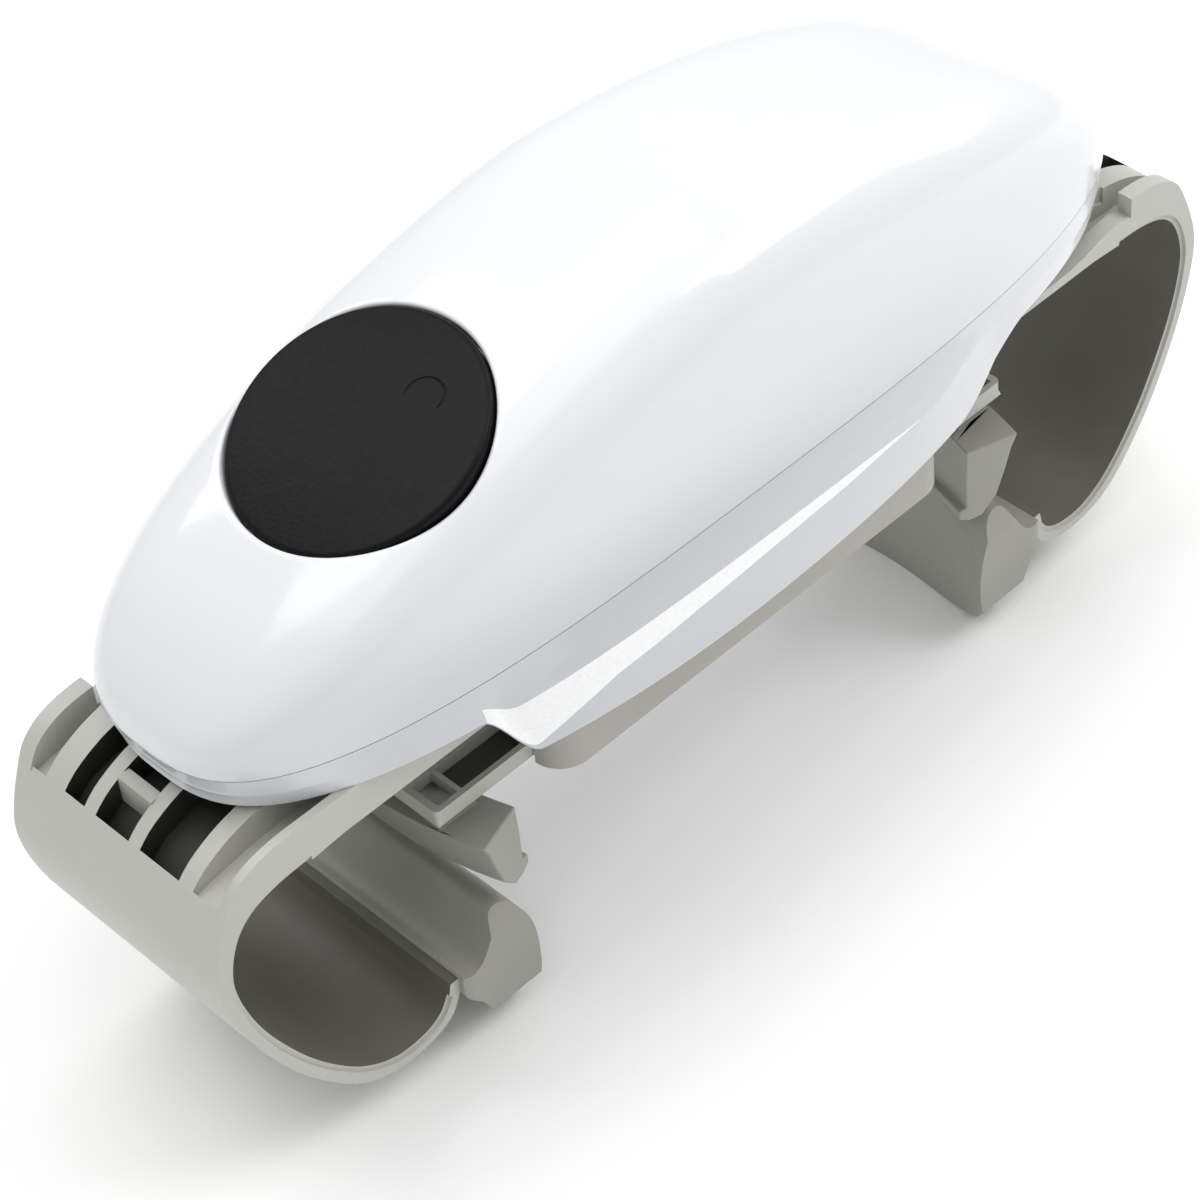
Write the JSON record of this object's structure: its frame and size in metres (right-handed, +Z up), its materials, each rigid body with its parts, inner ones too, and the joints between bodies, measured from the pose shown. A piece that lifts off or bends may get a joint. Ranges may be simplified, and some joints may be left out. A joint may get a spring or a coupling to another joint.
{
  "type": "electric jar opener",
  "caption": "Battery-powered jar opener: domed housing with a push button, C-shaped claws that grip the jar and a turntable with jaws that grip and turn the lid.",
  "frame": {"origin": "middle of the opener, on the surface that the jar jaws rest on", "axes": "+X along the housing away from the button, +Z up"},
  "size_m": [0.2106, 0.0716, 0.1151],
  "materials": {
    "cover_white": "high gloss white",
    "shell_white": "high gloss white",
    "button_black": "fine matte grain",
    "claw_grey": "satin",
    "jaw_grey": "satin",
    "block_grey": "satin",
    "steel": "zinc plated",
    "nylon": "moulded nylon",
    "brass": "turned",
    "switch_black": "moulded",
    "board_green": "solder mask",
    "cell_wrap": "shrink sleeve"
  },
  "bodies": {
    "housing": {"top_cover": "cover_white", "lower_shell": "shell_white", "guide_plate": "nylon", "ring_gear": "nylon", "gearbox_plate": "nylon", "gearbox_screws": "steel", "gear_pins": "steel", "motor": "steel", "switch": "switch_black", "circuit_board": "board_green", "batteries": "cell_wrap", "battery_contacts": "steel", "housing_screws": "steel", "guide_plate_screws": "steel", "button_spring": "steel"},
    "button": {"button": "button_black"},
    "left_claw": {"outer_arm_left": "claw_grey", "jar_jaw_left": "jaw_grey"},
    "right_claw": {"outer_arm_right": "claw_grey", "jar_jaw_right": "jaw_grey"},
    "claw_pinion": {"outer_pinion": "nylon"},
    "turntable": {"turntable": "block_grey", "turntable_cover": "steel", "turntable_screws": "steel", "main_shaft": "steel", "planet_carrier": "steel", "planet_pins": "steel"},
    "left_lid_jaw": {"lid_slider_left": "block_grey", "lid_jaw_left": "jaw_grey"},
    "right_lid_jaw": {"lid_slider_right": "block_grey", "lid_jaw_right": "jaw_grey"},
    "lid_jaw_pinion": {"lid_pinion": "nylon"},
    "planet_1": {"planet_gear_1": "nylon"},
    "planet_2": {"planet_gear_2": "nylon"},
    "planet_3": {"planet_gear_3": "nylon"},
    "sun": {"sun_gear": "nylon"},
    "second_gear": {"gear_2": "nylon"},
    "first_gear": {"gear_1": "nylon"},
    "rotor": {"motor_pinion": "brass", "motor_shaft": "steel"},
    "battery_door": {"battery_door": "cover_white"}
  },
  "joints": [
    {"name": "claw_slide", "type": "slide", "parent": "housing", "child": "left_claw", "axis": [1, 0, 0], "range_m": [0, 0.03]},
    {"name": "right_claw_slide", "type": "slide", "parent": "housing", "child": "right_claw", "axis": [1, 0, 0], "range_m": [-0.03, 0]},
    {"name": "claw_pinion_turn", "type": "hinge", "parent": "housing", "child": "claw_pinion", "pos_m": [0, 0, 0.0646], "axis": [0, 0, 1], "range_deg": [-245.6, 0.1]},
    {"name": "turntable_turn", "type": "hinge", "parent": "housing", "child": "turntable", "pos_m": [0, 0, 0.0546], "axis": [0, 0, 1], "continuous": true},
    {"name": "lid_jaw_slide", "type": "slide", "parent": "turntable", "child": "left_lid_jaw", "axis": [1, 0, 0], "range_m": [0, 0.025]},
    {"name": "right_lid_jaw_slide", "type": "slide", "parent": "turntable", "child": "right_lid_jaw", "axis": [1, 0, 0], "range_m": [-0.025, 0]},
    {"name": "lid_pinion_turn", "type": "hinge", "parent": "turntable", "child": "lid_jaw_pinion", "pos_m": [0, 0, 0.0456], "axis": [0, 0, 1], "range_deg": [-238.8, 0.1]},
    {"name": "planet_1_turn", "type": "hinge", "parent": "turntable", "child": "planet_1", "pos_m": [0.012, 0, 0.0746], "axis": [0, 0, 1], "continuous": true},
    {"name": "planet_2_turn", "type": "hinge", "parent": "turntable", "child": "planet_2", "pos_m": [-0.006, 0.01039, 0.0746], "axis": [0, 0, 1], "continuous": true},
    {"name": "planet_3_turn", "type": "hinge", "parent": "turntable", "child": "planet_3", "pos_m": [-0.006, -0.01039, 0.0746], "axis": [0, 0, 1], "continuous": true},
    {"name": "sun_turn", "type": "hinge", "parent": "housing", "child": "sun", "pos_m": [0, 0, 0.0746], "axis": [0, 0, 1], "continuous": true},
    {"name": "second_gear_turn", "type": "hinge", "parent": "housing", "child": "second_gear", "pos_m": [0, 0.0144, 0.0796], "axis": [0, 0, 1], "continuous": true},
    {"name": "first_gear_turn", "type": "hinge", "parent": "housing", "child": "first_gear", "pos_m": [-0.01345, 0.0113, 0.0836], "axis": [0, 0, 1], "continuous": true},
    {"name": "rotor_turn", "type": "hinge", "parent": "housing", "child": "rotor", "pos_m": [-0.00801, 0.00004, 0.0846], "axis": [0, 0, 1], "continuous": true},
    {"name": "button_press", "type": "slide", "parent": "housing", "child": "button", "axis": [0.3746, 0, -0.9272], "range_m": [0, 0.0016], "stiffness_N_per_m": 800, "deforming": ["button_spring"]},
    {"name": "battery_door_lift", "type": "slide", "parent": "housing", "child": "battery_door", "axis": [0, 1, 0], "range_m": [0, 0.04]}
  ],
  "couplings": [
    {"joint": "right_claw_slide", "follows": "claw_slide", "ratio": -1},
    {"joint": "claw_pinion_turn", "follows": "claw_slide", "rad_per_m": -142.86},
    {"joint": "right_lid_jaw_slide", "follows": "lid_jaw_slide", "ratio": -1},
    {"joint": "lid_pinion_turn", "follows": "lid_jaw_slide", "rad_per_m": -166.67},
    {"joint": "planet_1_turn", "follows": "turntable_turn", "ratio": -2.6667},
    {"joint": "planet_2_turn", "follows": "turntable_turn", "ratio": -2.6667},
    {"joint": "planet_3_turn", "follows": "turntable_turn", "ratio": -2.6667},
    {"joint": "sun_turn", "follows": "turntable_turn", "ratio": 5},
    {"joint": "second_gear_turn", "follows": "turntable_turn", "ratio": -15},
    {"joint": "first_gear_turn", "follows": "turntable_turn", "ratio": 54},
    {"joint": "rotor_turn", "follows": "turntable_turn", "ratio": -216}
  ]
}
